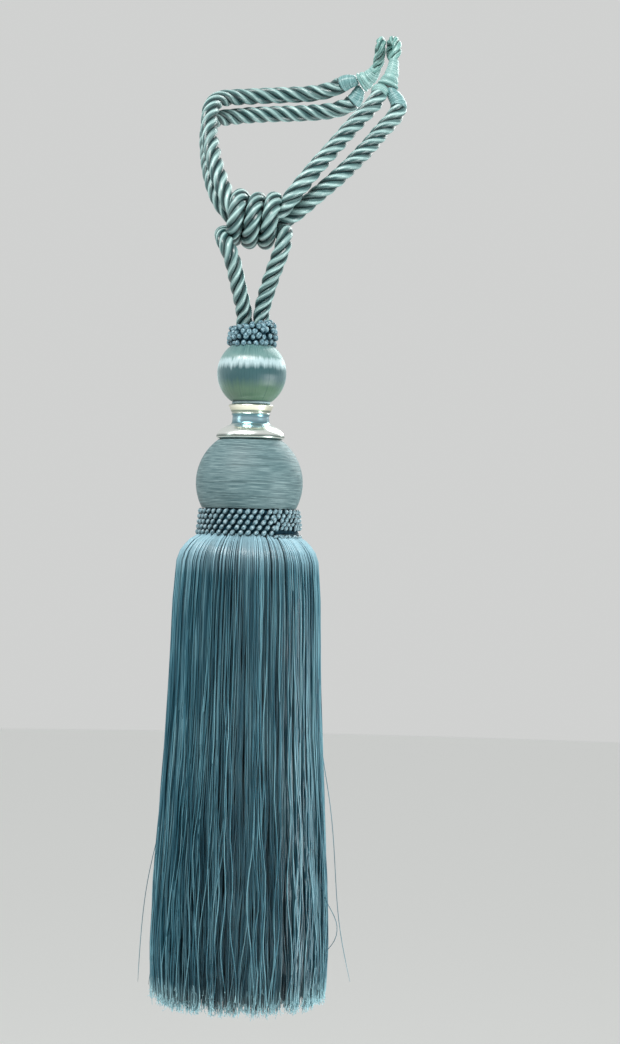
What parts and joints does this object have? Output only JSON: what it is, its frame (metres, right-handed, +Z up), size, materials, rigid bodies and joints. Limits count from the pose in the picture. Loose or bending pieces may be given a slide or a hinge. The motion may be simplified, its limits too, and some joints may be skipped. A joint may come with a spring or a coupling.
{
  "type": "curtain tieback with tassel",
  "caption": "Rope curtain tieback with a hanging loop at each end and a long tassel tied on in front.",
  "frame": {"origin": "under the crowns of the two hanging loops, where they bear on the wall hook", "axes": "+Z up; +X to the right as seen from the room; +Y back towards the wall"},
  "size_m": [0.1091, 0.1053, 0.4544],
  "materials": {
    "rope_satin": "satin viscose rope, four strands",
    "whipping_thread": "smooth wound satin thread",
    "ruff_yarn": "looped yarn",
    "small_ball_thread": "glossy thread wound top to bottom",
    "braid_yarn": "slanted braid stitches",
    "polished_metal": "polished, plated",
    "big_ball_thread": "thread wound round and round",
    "skirt_yarn": "fine twisted satin thread"
  },
  "bodies": {
    "root": {"embrace_rope_upper": "rope_satin", "embrace_rope_lower": "rope_satin", "tassel_cord": "rope_satin", "hanging_loop_front": "rope_satin", "hanging_loop_back": "rope_satin", "whipping_front": "whipping_thread", "whipping_back": "whipping_thread", "wrap_front_upper": "whipping_thread", "wrap_front_lower": "whipping_thread", "wrap_back_upper": "whipping_thread", "wrap_back_lower": "whipping_thread", "ruff": "ruff_yarn", "small_ball": "small_ball_thread", "neck_ring": "braid_yarn", "collar": "polished_metal", "big_ball": "big_ball_thread", "braid_band": "braid_yarn", "skirt": "skirt_yarn"}
  },
  "joints": []
}
